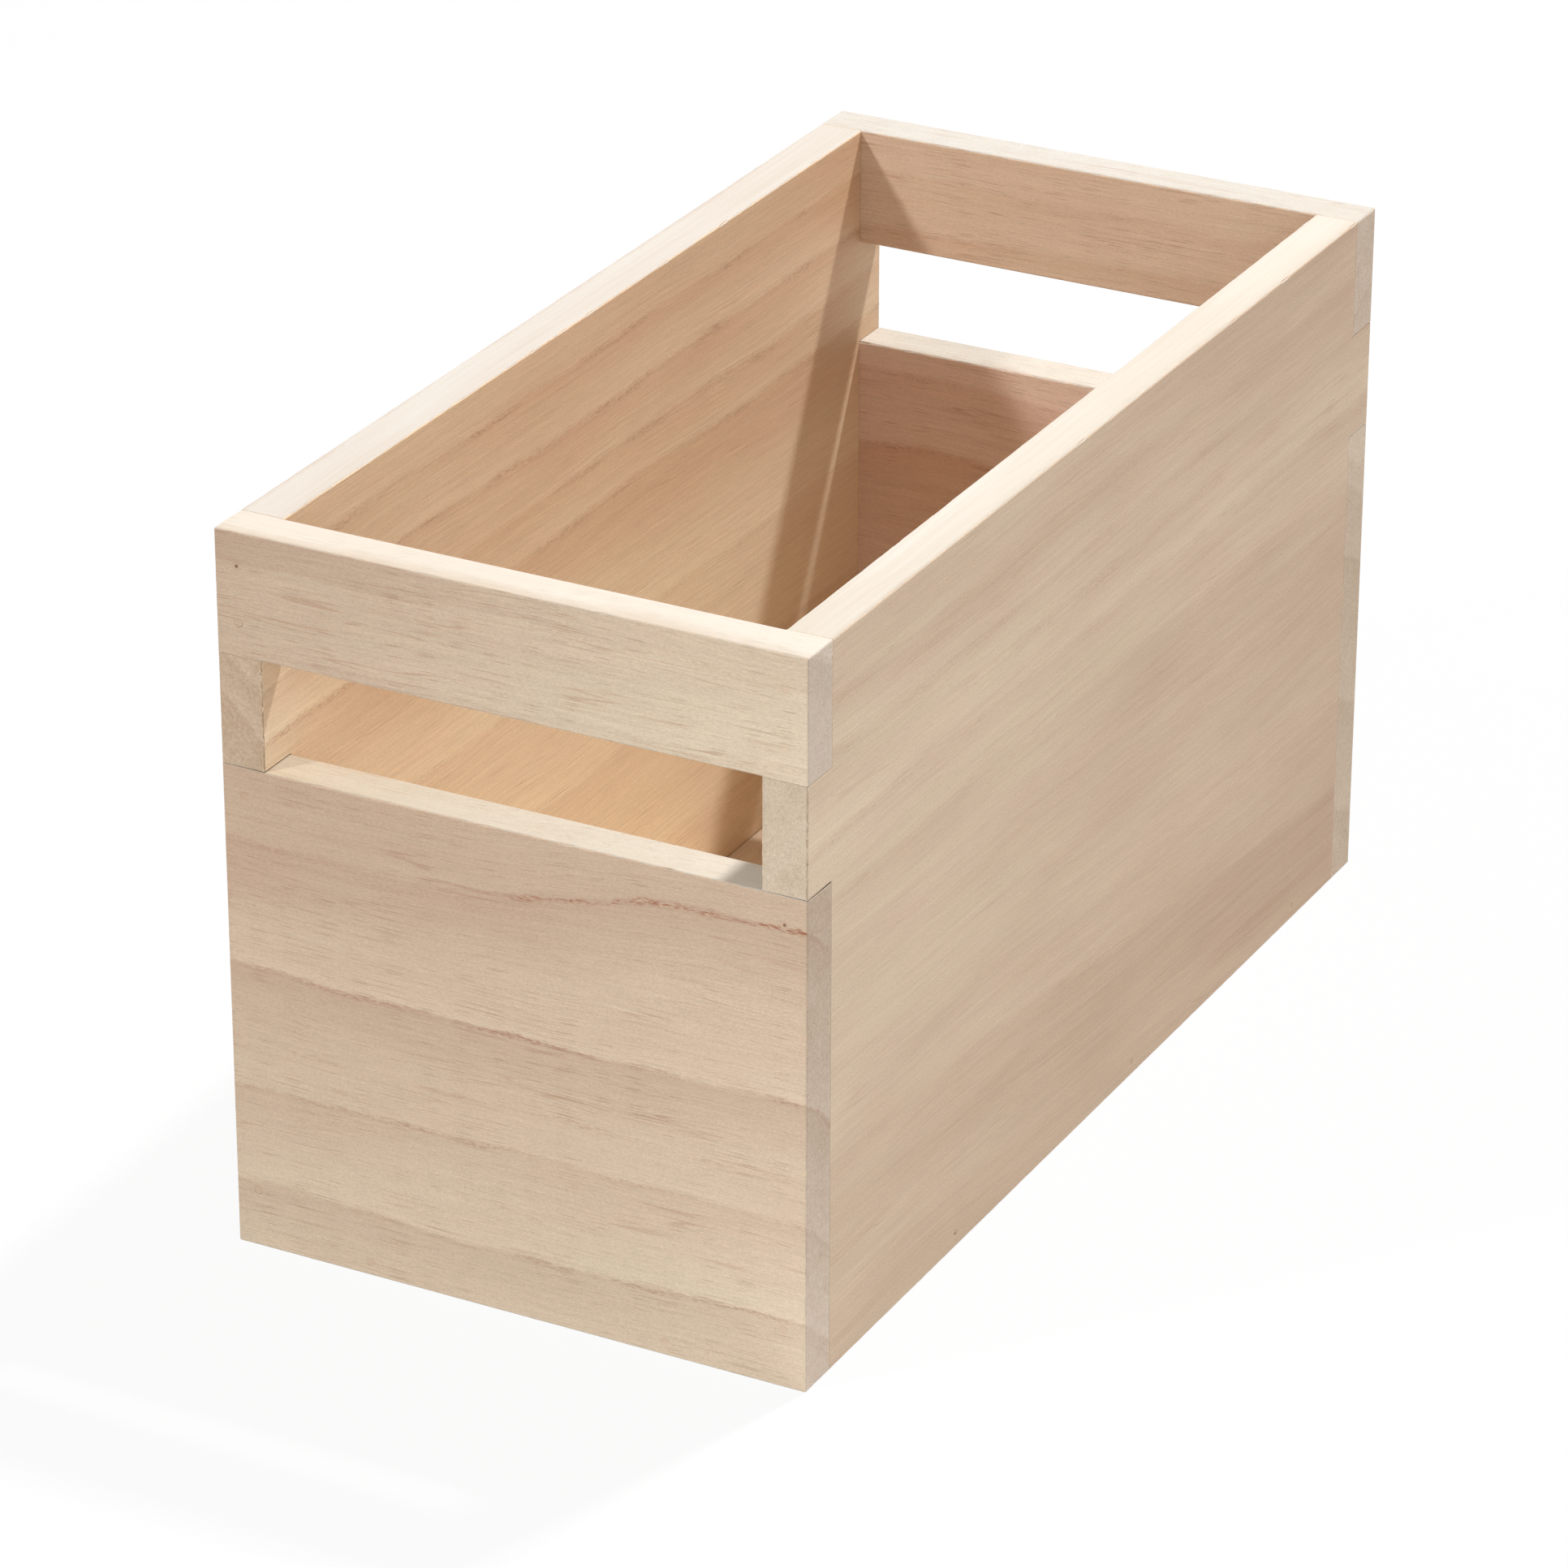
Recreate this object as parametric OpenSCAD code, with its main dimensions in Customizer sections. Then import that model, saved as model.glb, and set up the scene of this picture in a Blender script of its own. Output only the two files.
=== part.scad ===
// Open wooden storage bin with a hand slot in each end.
// The side boards carry a through finger at each end. The finger fills the slot's height
// and parts the top rail from the lower board, which both lap over the notched side ends.
// Millimetres, +Z up, front towards -Y, origin under the middle of the bin.

/* [Bin] */
// Width across the front
bin_w = 125; // [100:1:180]
// Depth from the front face to the back face
bin_d = 255; // [180:1:400]
// Height from the floor to the rim
bin_h = 152; // [120:1:220]
// Thickness of each side board
side_t = 9.5; // [8:0.5:14]
// Thickness of each rail and end board
end_t = 9.5; // [8:0.5:14]

/* [Hand slots] */
// Height of the rail above each slot
rail_h = 25.5; // [20:0.5:36]
// Height of each slot
slot_h = 23; // [18:0.5:32]

/* [Bottom panel] */
// Thickness of the bottom panel
bottom_t = 5; // [3:0.5:8]
// Height of the panel above the floor
bottom_lift = 0.5; // [0.2:0.1:3]
// Gap between the panel and each wall
bottom_gap = 0.2; // [0.05:0.05:0.5]

/* [Joints and edges] */
// Gap above and below each finger
finger_gap = 0.2; // [0.05:0.05:0.4]
// Width of the bevel on the edges that hands touch
arris = 0.4; // [0.2:0.1:1]

/* [Brads] */
// Diameter of a brad's shank
brad_d = 1.2; // [0.8:0.1:1.6]
// Diameter of a brad's head
brad_head_d = 1.8; // [1.7:0.1:2.4]
// Thickness of a brad's head
brad_head_h = 0.5; // [0.3:0.1:1]
// Length of a brad under its head
brad_l = 20; // [15:1:26]
// Length of a brad's point
brad_point = 2; // [1:0.5:3]
// Diameter of the point's blunt tip
brad_tip_d = 0.3; // [0.1:0.1:0.6]
// Depth of each head below the surface
brad_set = 0.6; // [0.2:0.1:1.2]
// Clearance around a brad in its hole
brad_gap = 0.05; // [0.02:0.01:0.1]
// Distance of the rail brads from the rail's edges
rail_brad_inset = 7; // [4:0.5:8]
// Distance of the upper board brads from the board's top
board_brad_top = 6; // [4:0.5:15]
// Distance of the lower board brads from the floor
board_brad_foot = 12.5; // [10:0.5:25]
// Distance of the bottom brads in each end from the bin's sides
end_brad_inset = 30; // [26:0.5:45]
// Distance of the first bottom brad in each side from the front
side_brad_front = 63; // [24:1:80]
// Distance of the last bottom brad in each side from the back
side_brad_back = 31; // [24:1:80]
// Number of bottom brads in each side
side_brads = 3; // [2:1:5]

/* [Hidden] */
$fn = 32;
overcut = 1;
inner_w = bin_w - 2 * side_t;
inner_d = bin_d - 2 * end_t;
rail_z = bin_h - rail_h;
board_h = rail_z - slot_h;
side_mid = (bin_w - side_t) / 2;
bottom_brad_z = bottom_lift + bottom_t / 2;
rail_brad_zs = [rail_z + rail_brad_inset, bin_h - rail_brad_inset];
board_brad_zs = [board_brad_foot, board_h - board_brad_top];
end_brad_xs = [end_brad_inset - bin_w / 2, bin_w / 2 - end_brad_inset];
side_brad_pitch = (bin_d - side_brad_front - side_brad_back) / (side_brads - 1);
side_brad_ys = [for (i = [0:side_brads - 1]) side_brad_front - bin_d / 2 + i * side_brad_pitch];
board_colour = [0.82, 0.72, 0.61];
panel_colour = [0.80, 0.66, 0.51];
steel_colour = [0.62, 0.61, 0.59];

// Rectangle with its corners cut by the arris
module bevelled_rect(w, h) {
    x = w / 2;
    y = h / 2;
    c = arris;
    polygon([
        [c - x, -y], [x - c, -y], [x, c - y], [x, y - c],
        [x - c, y], [c - x, y], [-x, y - c], [-x, c - y]
    ]);
}

// The whole bin's outside, with every outer edge bevelled
module outside() {
    intersection() {
        linear_extrude(bin_h) bevelled_rect(bin_w, bin_d);
        translate([0, bin_d / 2, bin_h / 2]) rotate([90, 0, 0])
            linear_extrude(bin_d) bevelled_rect(bin_w, bin_h);
        translate([-bin_w / 2, 0, bin_h / 2]) rotate([90, 0, 90])
            linear_extrude(bin_w) bevelled_rect(bin_d, bin_h);
    }
}

// Square bar whose corner cuts the bevel along an edge that runs along X
module bevel_cut(length) {
    side = arris * sqrt(2);
    rotate([45, 0, 0]) cube([length, side, side], center = true);
}

// One brad in a surface at Z = 0, its head sunk to the set depth and its point along +Z
module brad() {
    shank = brad_l - brad_point;
    translate([0, 0, brad_set]) {
        cylinder(d = brad_head_d, h = brad_head_h);
        translate([0, 0, brad_head_h]) cylinder(d = brad_d, h = shank);
        translate([0, 0, brad_head_h + shank]) cylinder(d1 = brad_d, d2 = brad_tip_d, h = brad_point);
    }
}

// The hole that a brad leaves: a pit for its head and a bore for its shank
module brad_hole() {
    pit = brad_set + brad_head_h;
    translate([0, 0, -overcut]) cylinder(d = brad_head_d + 2 * brad_gap, h = overcut + pit);
    cylinder(d = brad_d + 2 * brad_gap, h = pit + brad_l + brad_gap);
}

// Puts its child at each brad place in the front face
module at_front(xs, zs) {
    for (x = xs, z = zs) translate([x, -bin_d / 2, z]) rotate([-90, 0, 0]) children();
}

// Puts its child at each bottom brad place in the right side
module at_right() {
    for (y = side_brad_ys) translate([bin_w / 2, y, bottom_brad_z]) rotate([0, -90, 0]) children();
}

// Puts its child at the brad places of the corners that the front shares with the sides
module at_front_corners() {
    at_front([-side_mid, side_mid], concat(rail_brad_zs, board_brad_zs)) children();
}

// Puts its child at the front and, mirrored, at the back
module both_ends() {
    children();
    mirror([0, 1, 0]) children();
}

// Right side board: notched at both ends above and below its fingers
module side_board() {
    difference() {
        intersection() {
            outside();
            translate([bin_w / 2 - side_t, -bin_d / 2, 0]) cube([side_t, bin_d, bin_h]);
        }
        both_ends() {
            translate([inner_w / 2 - overcut, -bin_d / 2 - overcut, rail_z - finger_gap])
                cube([side_t + 2 * overcut, end_t + overcut, rail_h + finger_gap + overcut]);
            translate([inner_w / 2 - overcut, -bin_d / 2 - overcut, -overcut])
                cube([side_t + 2 * overcut, end_t + overcut, board_h + finger_gap + overcut]);
            translate([inner_w / 2, -bin_d / 2, rail_z - slot_h / 2]) rotate([0, 90, 0]) bevel_cut(slot_h);
            at_front_corners() brad_hole();
        }
        translate([inner_w / 2, 0, bin_h]) rotate([0, 0, 90]) bevel_cut(inner_d);
        at_right() brad_hole();
    }
}

// Front top rail: laps over both side ends, with its edges bevelled along the rim and over the slot
module rail() {
    difference() {
        intersection() {
            outside();
            translate([-bin_w / 2, -bin_d / 2, rail_z]) cube([bin_w, end_t, rail_h]);
        }
        translate([0, -inner_d / 2, bin_h]) bevel_cut(inner_w);
        for (y = [-bin_d / 2, -inner_d / 2]) translate([0, y, rail_z]) bevel_cut(inner_w);
        at_front_corners() brad_hole();
    }
}

// Front lower board: laps over both side ends and closes the bottom panel's edge
module end_board() {
    difference() {
        intersection() {
            outside();
            translate([-bin_w / 2, -bin_d / 2, 0]) cube([bin_w, end_t, board_h]);
        }
        for (y = [-bin_d / 2, -inner_d / 2]) translate([0, y, board_h]) bevel_cut(inner_w);
        at_front_corners() brad_hole();
        at_front(end_brad_xs, [bottom_brad_z]) brad_hole();
    }
}

module right_side() {
    color(board_colour) side_board();
}

module left_side() {
    color(board_colour) mirror([1, 0, 0]) side_board();
}

module front_rail() {
    color(board_colour) rail();
}

module back_rail() {
    color(board_colour) mirror([0, 1, 0]) rail();
}

module front_board() {
    color(board_colour) end_board();
}

module back_board() {
    color(board_colour) mirror([0, 1, 0]) end_board();
}

// Bottom panel: drops between the four walls and hangs on their brads
module bottom_panel() {
    panel_w = inner_w - 2 * bottom_gap;
    panel_d = inner_d - 2 * bottom_gap;
    color(panel_colour) difference() {
        translate([-panel_w / 2, -panel_d / 2, bottom_lift]) cube([panel_w, panel_d, bottom_t]);
        both_ends() at_front(end_brad_xs, [bottom_brad_z]) brad_hole();
        at_right() brad_hole();
        mirror([1, 0, 0]) at_right() brad_hole();
    }
}

module front_rail_brads() {
    color(steel_colour) at_front([-side_mid, side_mid], rail_brad_zs) brad();
}

module back_rail_brads() {
    mirror([0, 1, 0]) front_rail_brads();
}

module front_board_brads() {
    color(steel_colour) at_front([-side_mid, side_mid], board_brad_zs) brad();
}

module back_board_brads() {
    mirror([0, 1, 0]) front_board_brads();
}

module front_bottom_brads() {
    color(steel_colour) at_front(end_brad_xs, [bottom_brad_z]) brad();
}

module back_bottom_brads() {
    mirror([0, 1, 0]) front_bottom_brads();
}

module right_bottom_brads() {
    color(steel_colour) at_right() brad();
}

module left_bottom_brads() {
    mirror([1, 0, 0]) right_bottom_brads();
}

left_side();
right_side();
front_rail();
back_rail();
front_board();
back_board();
bottom_panel();
front_rail_brads();
back_rail_brads();
front_board_brads();
back_board_brads();
front_bottom_brads();
back_bottom_brads();
left_bottom_brads();
right_bottom_brads();
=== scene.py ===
"""Open wooden storage bin: bare boards lapped over through fingers and pinned with brads."""

from math import copysign, pi, radians
from typing import NamedTuple

import bmesh
import bpy
from bpy.props import FloatProperty, FloatVectorProperty, PointerProperty
from mathutils import Matrix, Vector, noise


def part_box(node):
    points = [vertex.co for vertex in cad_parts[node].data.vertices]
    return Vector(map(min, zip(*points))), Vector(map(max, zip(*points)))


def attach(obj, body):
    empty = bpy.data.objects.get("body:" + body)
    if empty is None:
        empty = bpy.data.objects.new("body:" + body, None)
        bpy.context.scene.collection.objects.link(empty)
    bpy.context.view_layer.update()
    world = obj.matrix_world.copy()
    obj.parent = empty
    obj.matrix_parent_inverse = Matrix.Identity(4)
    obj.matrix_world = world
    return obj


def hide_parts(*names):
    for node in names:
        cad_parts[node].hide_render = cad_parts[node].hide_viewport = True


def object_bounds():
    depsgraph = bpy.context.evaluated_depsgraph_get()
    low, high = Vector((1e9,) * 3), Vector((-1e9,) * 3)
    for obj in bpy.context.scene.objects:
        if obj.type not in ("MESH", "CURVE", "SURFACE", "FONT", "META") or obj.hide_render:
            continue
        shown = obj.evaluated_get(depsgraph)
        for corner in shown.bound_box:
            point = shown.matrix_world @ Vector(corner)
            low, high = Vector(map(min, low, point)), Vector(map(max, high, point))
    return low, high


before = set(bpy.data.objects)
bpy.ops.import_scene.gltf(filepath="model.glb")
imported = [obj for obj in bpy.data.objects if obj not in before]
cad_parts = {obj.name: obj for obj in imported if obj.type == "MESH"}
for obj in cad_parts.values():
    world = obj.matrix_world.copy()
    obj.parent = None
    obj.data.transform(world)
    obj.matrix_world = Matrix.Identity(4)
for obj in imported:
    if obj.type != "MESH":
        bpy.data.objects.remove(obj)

bl_info = {
    "name": "Wooden storage bin",
    "version": (1, 0, 0),
    "blender": (4, 5, 0),
    "location": "3D View > Sidebar > Bin",
    "description": "Builds an open wooden storage bin with a hand slot in each end",
    "category": "Add Mesh",
}

CAD_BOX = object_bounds()
MM = 0.001
AXIS = {"x": 0, "y": 1, "z": 2}


# Settings

def colour(name, description, default):
    """A colour for the sidebar, as linear red, green and blue."""
    return FloatVectorProperty(
        name=name, description=description, default=default, subtype="COLOR", size=3, min=0.0, max=1.0
    )


def length(name, description, default):
    """A length for the sidebar, in metres."""
    return FloatProperty(name=name, description=description, default=default, unit="LENGTH", min=0.0)


def amount(name, description, default):
    """A plain number for the sidebar."""
    return FloatProperty(name=name, description=description, default=default, min=0.0)


class WoodSettings(bpy.types.PropertyGroup):
    """Colours of the bare wood and of what is in it."""

    face_pale: colour("Face, pale", "Pale wood on the outer faces", (0.662, 0.524, 0.396))
    face_deep: colour("Face, deep", "Deep wood on the outer faces", (0.545, 0.402, 0.296))
    # Inner faces get their own paler, warmer wood: painted light, standing in for the warm bounce light
    # inside the bin.
    inside_pale: colour("Inside, pale", "Pale wood on the inner faces", (0.740, 0.590, 0.440))
    inside_deep: colour("Inside, deep", "Deep wood on the inner faces", (0.650, 0.465, 0.325))
    # Narrow edges have their own greyer wood: partly the planed edges' own tone, partly a painted highlight
    # so the brightly lit tops wash out pale.
    edge_pale: colour("Edge, pale", "Pale wood on the narrow edges", (0.548, 0.498, 0.432))
    edge_deep: colour("Edge, deep", "Deep wood on the narrow edges", (0.475, 0.404, 0.324))
    end_pale: colour("End, pale", "Pale wood on the sawn ends", (0.592, 0.488, 0.398))
    end_deep: colour("End, deep", "Deep wood on the sawn ends", (0.484, 0.377, 0.288))
    panel_pale: colour("Panel, pale", "Pale wood on the bottom panel", (0.820, 0.685, 0.520))
    panel_deep: colour("Panel, deep", "Deep wood on the bottom panel", (0.750, 0.585, 0.425))
    line: colour("Growth line", "Thin line where a growth ring starts", (0.385, 0.205, 0.130))
    pore: colour("Pore", "Open pores along the grain", (0.345, 0.160, 0.080))
    filler: colour("Filler", "Tint of the filler over the brads", (0.975, 0.935, 0.910))
    rose: colour("Rose tint", "Tint of the warmer patches", (1.000, 0.966, 0.945))
    straw: colour("Straw tint", "Tint of the yellower patches", (1.000, 0.992, 0.962))


class EdgeSettings(bpy.types.PropertyGroup):
    """How the boards' edges, joints and brad holes are worked."""

    arris: length("Arris", "Width of the rounding on edges that hands touch", 0.32 * MM)
    joint_arris: length("Joint arris", "Width of the bevel on edges that meet another board", 0.10 * MM)
    wear: length("Wear", "How far the rounded edges are rubbed back", 0.11 * MM)
    rough_wear: length("Rough wear", "How far the roughly sawn edges are torn back", 0.50 * MM)
    wear_pitch: length("Wear pitch", "Distance between points along a worn edge", 1.5 * MM)
    joint_open: length("Open joint", "How far the front board has opened at its right finger", 0.38 * MM)
    filler_dish: length("Filler dish", "How far the filler has sunk in the middle", 0.06 * MM)
    filler_slip: length("Filler slip", "How far shrunk filler has drawn to one side", 0.06 * MM)


class StageSettings(bpy.types.PropertyGroup):
    """Lamps, floor and surroundings."""

    key: amount("Key lamp", "Light on a face square to the lamp behind the bin", 1.30)
    side: amount("Side lamp", "Light on a face square to the lamp at the front left", 0.52)
    fill: amount("Fill lamp", "Light on a face square to the broad lamp at the front", 0.30)
    sky: amount("Surroundings", "Light from all round", 0.22)
    floor: colour("Floor", "Colour of the floor", (0.60, 0.60, 0.60))
    floor_glow: amount("Floor glow", "Share of plain white that the floor shows to the camera", 0.92)


# Shader maths

SEED_STEPS = (1.0, 1.7, 2.3)


class Wire:
    """A socket of a node tree that sums can use as they use a number."""

    def __init__(self, tree, socket):
        self.tree = tree
        self.socket = socket

    @classmethod
    def node(cls, tree, kind, settings=None, sockets=None, output=0):
        """Add a node: its settings first, then the values or links of its sockets."""
        made = tree.nodes.new(kind)
        for name, value in (settings or {}).items():
            if name == "stops":
                cls.set_stops(made.color_ramp.elements, value)
            else:
                setattr(made, name, value)
        for name, value in (sockets or {}).items():
            if isinstance(value, Wire):
                tree.links.new(value.socket, made.inputs[name])
            else:
                made.inputs[name].default_value = value
        return cls(tree, made.outputs[output]) if made.outputs else None

    @staticmethod
    def set_stops(elements, stops):
        """Give a colour ramp its stops, each a place from 0 to 1 and a colour."""
        while len(elements) < len(stops):
            elements.new(1.0)
        for element, (place, value) in zip(elements, stops):
            element.position = place
            element.color = value

    def math(self, operation, first, second):
        """Add a sum of two values or sockets."""
        return Wire.node(self.tree, "ShaderNodeMath", {"operation": operation}, {0: first, 1: second})

    def __add__(self, other):
        return self.math("ADD", self, other)

    def __radd__(self, other):
        return self.math("ADD", other, self)

    def __sub__(self, other):
        return self.math("SUBTRACT", self, other)

    def __rsub__(self, other):
        return self.math("SUBTRACT", other, self)

    def __mul__(self, other):
        return self.math("MULTIPLY", self, other)

    def __rmul__(self, other):
        return self.math("MULTIPLY", other, self)

    def __truediv__(self, other):
        return self.math("DIVIDE", self, other)


def larger(first, second):
    """The larger of two values."""
    return first.math("MAXIMUM", first, second)


def eased(value, start, end):
    """A value eased from 0 to 1 as it goes from start to end."""
    return Wire.node(
        value.tree,
        "ShaderNodeMapRange",
        {"interpolation_type": "SMOOTHSTEP"},
        {"Value": value, "From Min": start, "From Max": end},
    )


def mixed(factor, first, second):
    """Two colours mixed by a factor."""
    settings = {"data_type": "RGBA", "clamp_factor": False}
    return Wire.node(factor.tree, "ShaderNodeMix", settings, {0: factor, 6: first, 7: second}, output=2)


def tinted(first, second):
    """Two colours multiplied."""
    return Wire.node(first.tree, "ShaderNodeVectorMath", {"operation": "MULTIPLY"}, {0: first, 1: second})


def shaded(hue, factor):
    """A colour made lighter or darker by a factor."""
    return Wire.node(hue.tree, "ShaderNodeVectorMath", {"operation": "SCALE"}, {0: hue, "Scale": factor})


def stretched(place, size, seed):
    """A place in mm, scaled so that one unit is a given size along each axis, and moved by a seed."""
    scale = [1.0 / span for span in size]
    shift = [seed * step for step in SEED_STEPS]
    return Wire.node(
        place.tree, "ShaderNodeVectorMath", {"operation": "MULTIPLY_ADD"}, {0: place, 1: scale, 2: shift}
    )


def cloud(place, size, seed, detail=2.0):
    """Noise about 0, from -0.5 to 0.5, with features of a given size in millimetres."""
    sockets = {"Vector": stretched(place, size, seed), "Scale": 1.0, "Detail": detail}
    return Wire.node(place.tree, "ShaderNodeTexNoise", None, sockets) - 0.5


def opaque(hue):
    """A colour with full alpha."""
    return (*hue, 1.0)


def new_material(name):
    """An empty material and its node tree."""
    material = bpy.data.materials.new(name)
    material.use_nodes = True
    material.node_tree.nodes.clear()
    return material, material.node_tree


def show(tree, surface):
    """Put a shader on a material's output."""
    Wire.node(tree, "ShaderNodeOutputMaterial", None, {"Surface": surface})


# How each board was sawn

class Ring(NamedTuple):
    """A growth line: its height in mm, how deep the wood is below and above it, and how dark it is."""

    height: float
    below: float
    above: float
    line: float


class Climb(NamedTuple):
    """A rise of growth lines in mm between two places along the grain, none at still height, all at full."""

    start: float
    end: float
    rise: float
    still: float
    full: float


NO_CAST = (1.0, 1.0, 1.0)


class Board(NamedTuple):
    """One board: its piece and node, its axes, the side its rings are given for, and its figure.

    A depth of 0 is pale wood and 1 is deep wood. Foot, top and rim are the depths at its lower edge, at its
    upper edge and just past that. Butt is added on its sawn ends, and fade from its one end to the other,
    with edge_fade in its place on the narrow edges. Lean is how far its rings shift for each mm through it.
    Lines are how strong its growth lines are at its two ends, edge is how much of its figure shows on its
    narrow edges, the painted foot light is how far its inner face is painted paler towards its foot,
    standing in for bounce light, and casts are tints.
    """

    piece: str
    node: str
    along: str
    across: str
    through: str
    shows: str
    foot: float
    rings: tuple
    top: float
    rim: float
    butt: float
    climb: Climb
    lean: float
    fade: tuple
    softness: float
    streaks: float
    fibres: float
    hairs: float
    pores: float
    seed: float
    lines: tuple = (1.0, 1.0)
    edge: float = 0.15
    edge_fade: tuple = ()
    painted_foot_light: float = 0.0
    face_cast: tuple = NO_CAST
    edge_cast: tuple = NO_CAST
    end_cast: tuple = NO_CAST
    inside_cast: tuple = NO_CAST


FRONT_RAIL = Board(
    piece="front_rail_board", node="front_rail", along="x", across="z", through="y", shows="lo",
    foot=0.32, rings=(Ring(129.0, 0.38, 0.24, 0.15), Ring(145.7, 0.46, 0.82, 0.25)),
    top=0.80, rim=-0.1, butt=-0.28,
    climb=Climb(-62.0, 62.0, 0.6, 100.0, 152.0), lean=0.6, fade=(0.85, -0.48),
    softness=0.4, streaks=0.5, fibres=1.0, hairs=1.2, pores=0.58, seed=3.1, edge_fade=(0.2, 0.0),
    face_cast=(0.97, 1.02, 1.035), edge_cast=(1.02, 1.0, 0.98), end_cast=(0.97, 0.985, 0.99),
)
# Its narrow edges, the sill among them, run from deep at the left end to pale at the right: partly the
# wood's tone, partly painted light, paler under the key lamp's shadow at the right end and deeper at the
# shaded left end. Its foot is painted paler, partly standing in for the light that the bin's shadow on the
# floor takes from its lower front.
FRONT_BOARD = Board(
    piece="front_end_board", node="front_board", along="x", across="z", through="y", shows="lo", foot=-0.65,
    rings=(
        Ring(14.0, 0.10, -0.55, 0.50), Ring(35.5, 0.45, 0.00, 0.60), Ring(45.5, 0.35, 0.30, 0.50),
        Ring(61.2, 1.00, 0.12, 0.90), Ring(88.7, 1.28, 1.10, 0.95),
    ),
    top=1.05, rim=1.0, butt=0.13, climb=Climb(-14.0, 44.0, 8.6, 64.0, 90.0), lean=0.8, fade=(0.26, -0.13),
    softness=0.45, streaks=0.8, fibres=1.0, hairs=1.0, pores=0.46, seed=7.3, lines=(0.50, 1.15),
    edge=0.9, edge_fade=(0.85, -0.50), face_cast=(1.0, 1.022, 1.022), edge_cast=(0.99, 1.03, 1.05),
)
BACK_RAIL = Board(
    piece="back_rail_board", node="back_rail", along="x", across="z", through="y", shows="lo",
    foot=1.0, rings=(Ring(131.0, 1.2, 0.9, 0.2), Ring(143.0, 1.1, 0.9, 0.25)), top=1.0, rim=0.0, butt=-0.35,
    climb=Climb(-62.0, 62.0, 1.5, 100.0, 152.0), lean=-0.5, fade=(0.15, 0.0),
    softness=0.6, streaks=0.8, fibres=1.0, hairs=0.8, pores=0.52, seed=12.7,
    edge=0.9, edge_fade=(0.0, 0.0), edge_cast=(1.03, 1.11, 1.22), inside_cast=(0.965, 1.04, 1.13),
)
BACK_BOARD = Board(
    piece="back_end_board", node="back_board", along="x", across="z", through="y", shows="lo", foot=0.9,
    rings=(
        Ring(18.0, 1.2, 0.6, 0.3), Ring(44.0, 1.3, 0.7, 0.4),
        Ring(80.5, 1.5, 0.9, 0.4), Ring(98.0, 1.2, 0.7, 0.3),
    ),
    top=0.75, rim=0.25, butt=-0.35, climb=Climb(-50.0, 50.0, -5.0, 40.0, 95.0), lean=0.7, fade=(0.10, 0.0),
    softness=0.6, streaks=0.8, fibres=1.0, hairs=0.8, pores=0.52, seed=17.9,
    edge=1.0, end_cast=(0.97, 0.955, 0.90), inside_cast=(1.01, 1.06, 1.24),
)
RIGHT_SIDE = Board(
    piece="right_side_board", node="right_side", along="y", across="z", through="x", shows="hi", foot=0.85,
    rings=(
        Ring(24.0, 0.85, 0.90, 0.08), Ring(44.0, 0.95, 0.60, 0.12), Ring(70.0, 0.45, 0.50, 0.03),
        Ring(98.5, 0.62, 0.30, 0.10), Ring(112.0, 0.42, 0.10, 0.20), Ring(121.0, 0.34, 0.42, 0.20),
        Ring(128.5, 0.65, 0.48, 0.20), Ring(139.5, 0.78, 0.64, 0.20),
    ),
    top=0.75, rim=0.3, butt=-0.18,
    climb=Climb(-110.0, 118.0, -20.0, 125.0, 25.0), lean=-1.0, fade=(-0.30, 0.45),
    softness=1.3, streaks=1.25, fibres=1.0, hairs=0.4, pores=0.04, seed=23.3, edge_fade=(0.0, 0.0),
    face_cast=(0.995, 1.0, 0.982), end_cast=(0.98, 0.99, 0.93),
)
LEFT_SIDE = Board(
    piece="left_side_board", node="left_side", along="y", across="z", through="x", shows="hi", foot=0.7,
    rings=(
        Ring(22.0, 0.75, 0.40, 0.15), Ring(51.0, 0.65, 0.10, 0.15), Ring(78.0, 0.55, 0.20, 0.2),
        Ring(109.0, 0.75, 0.05, 0.5), Ring(119.0, 0.70, 0.20, 0.5), Ring(130.6, 0.95, 0.30, 0.5),
        Ring(143.5, 1.00, 0.55, 0.5),
    ),
    top=0.8, rim=-0.1, butt=0.65,
    # Its fade, deeper towards its back end, is partly painted shade where the bin's shadow falls inside it.
    climb=Climb(-118.0, 118.0, -1.0, 60.0, 150.0), lean=1.0, fade=(-0.42, 0.40),
    softness=0.7, streaks=1.0, fibres=1.2, hairs=0.30, pores=0.04, seed=31.9, lines=(0.95, 0.95),
    # Its inner face is painted paler towards its foot: painted bounce light from the bottom panel.
    edge_fade=(0.0, 0.0), painted_foot_light=1.15,
    edge_cast=(1.01, 1.045, 1.11), end_cast=(1.0, 0.97, 0.91), inside_cast=(1.015, 1.015, 0.97),
)
BOTTOM_PANEL = Board(
    piece="bottom_panel_board", node="bottom_panel", along="y", across="x", through="z", shows="hi",
    foot=0.4,
    rings=(
        Ring(-34.0, 0.8, 0.2, 0.3), Ring(-12.0, 0.7, 0.2, 0.3),
        Ring(9.0, 0.8, 0.2, 0.3), Ring(33.0, 0.7, 0.1, 0.3),
    ),
    top=0.5, rim=0.5, butt=0.0, climb=Climb(-118.0, 118.0, 4.0, -60.0, 60.0), lean=0.3, fade=(0.0, 0.0),
    softness=0.8, streaks=1.0, fibres=1.0, hairs=0.5, pores=0.2, seed=41.3,
)
BOARDS = (LEFT_SIDE, RIGHT_SIDE, FRONT_RAIL, BACK_RAIL, FRONT_BOARD, BACK_BOARD, BOTTOM_PANEL)
FACE, EDGE, END, INSIDE, FILLER = range(5)
CUT_NAMES = ("face", "edge", "end", "inside", "filler")


# Wood

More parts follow.
